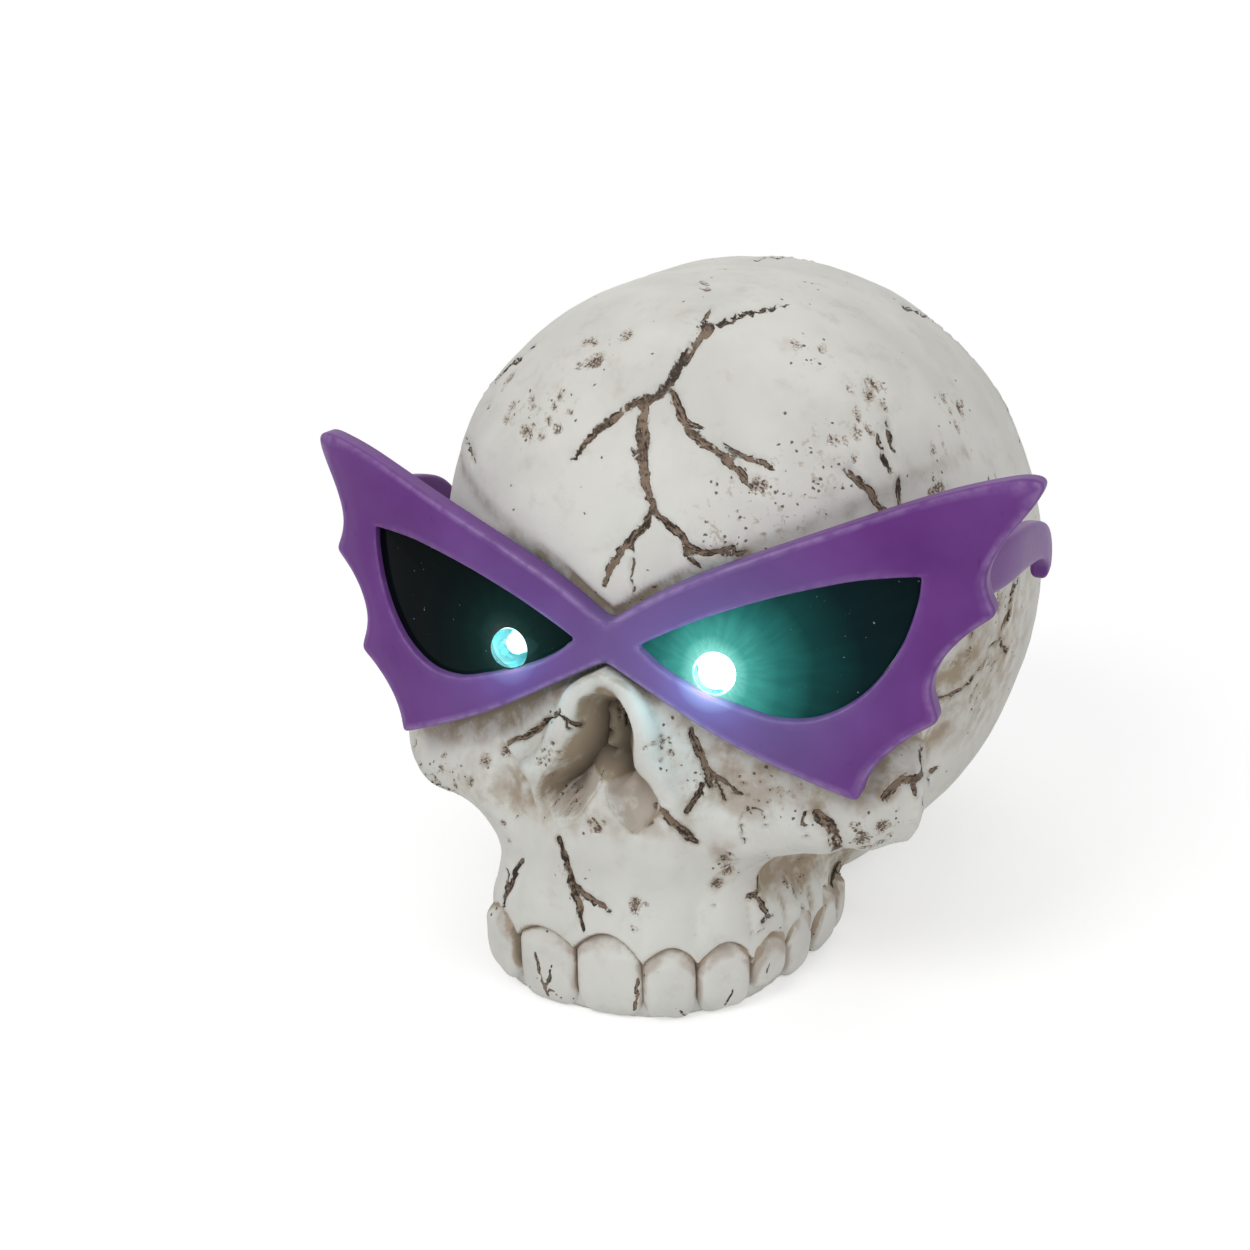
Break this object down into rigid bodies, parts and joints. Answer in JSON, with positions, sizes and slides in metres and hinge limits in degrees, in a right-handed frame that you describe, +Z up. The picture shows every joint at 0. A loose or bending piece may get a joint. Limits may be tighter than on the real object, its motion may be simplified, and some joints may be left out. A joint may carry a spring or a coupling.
{
  "type": "light-up skull ornament",
  "caption": "Small cast resin skull that stands on its upper teeth and wears bat-wing sunglasses, with a battery light shining through each dark lens.",
  "frame": {"origin": "under the middle of the ornament's box, on the plane that its teeth and base stand on", "axes": "+Z up, the face looks along -Y, +X towards the skull's own left"},
  "size_m": [0.094, 0.0998, 0.0883],
  "materials": {
    "bone_resin": "matte bone-white paint with a brown wash in its cracks",
    "purple_plastic": "satin purple",
    "smoked_acrylic": "glossy, dark smoked",
    "clear_epoxy": "clear, polished, lit from inside",
    "tinned_steel": "dull tinned",
    "black_pvc": "matte",
    "red_pvc": "satin",
    "black_plastic": "fine moulded texture",
    "nickel": "nickel plated"
  },
  "bodies": {
    "skull": {"skull_casting": "bone_resin", "glasses_front": "purple_plastic", "temple_arm_left": "purple_plastic", "temple_arm_right": "purple_plastic", "lens_left": "smoked_acrylic", "lens_right": "smoked_acrylic", "led_left": "clear_epoxy", "led_right": "clear_epoxy", "led_left_anode": "tinned_steel", "led_left_cathode": "tinned_steel", "led_right_anode": "tinned_steel", "led_right_cathode": "tinned_steel", "heat_shrink_left": "black_pvc", "heat_shrink_right": "black_pvc", "wire_left": "red_pvc", "wire_right": "red_pvc", "switch_wire": "red_pvc", "battery_box": "black_plastic", "button_cell_1": "nickel", "button_cell_2": "nickel", "button_cell_3": "nickel", "contact_plate": "nickel", "contact_spring": "nickel", "switch_body": "black_plastic"},
    "door": {"battery_door": "black_plastic"},
    "slider": {"switch_slider": "black_plastic"}
  },
  "joints": [
    {"name": "door_hinge", "type": "hinge", "parent": "skull", "child": "door", "pos_m": [-0.009, 0.00277, 0.0017], "axis": [0, 1, 0], "range_deg": [0, 90]},
    {"name": "switch_slide", "type": "slide", "parent": "skull", "child": "slider", "axis": [1, 0, 0], "range_m": [-0.002, 0]}
  ]
}
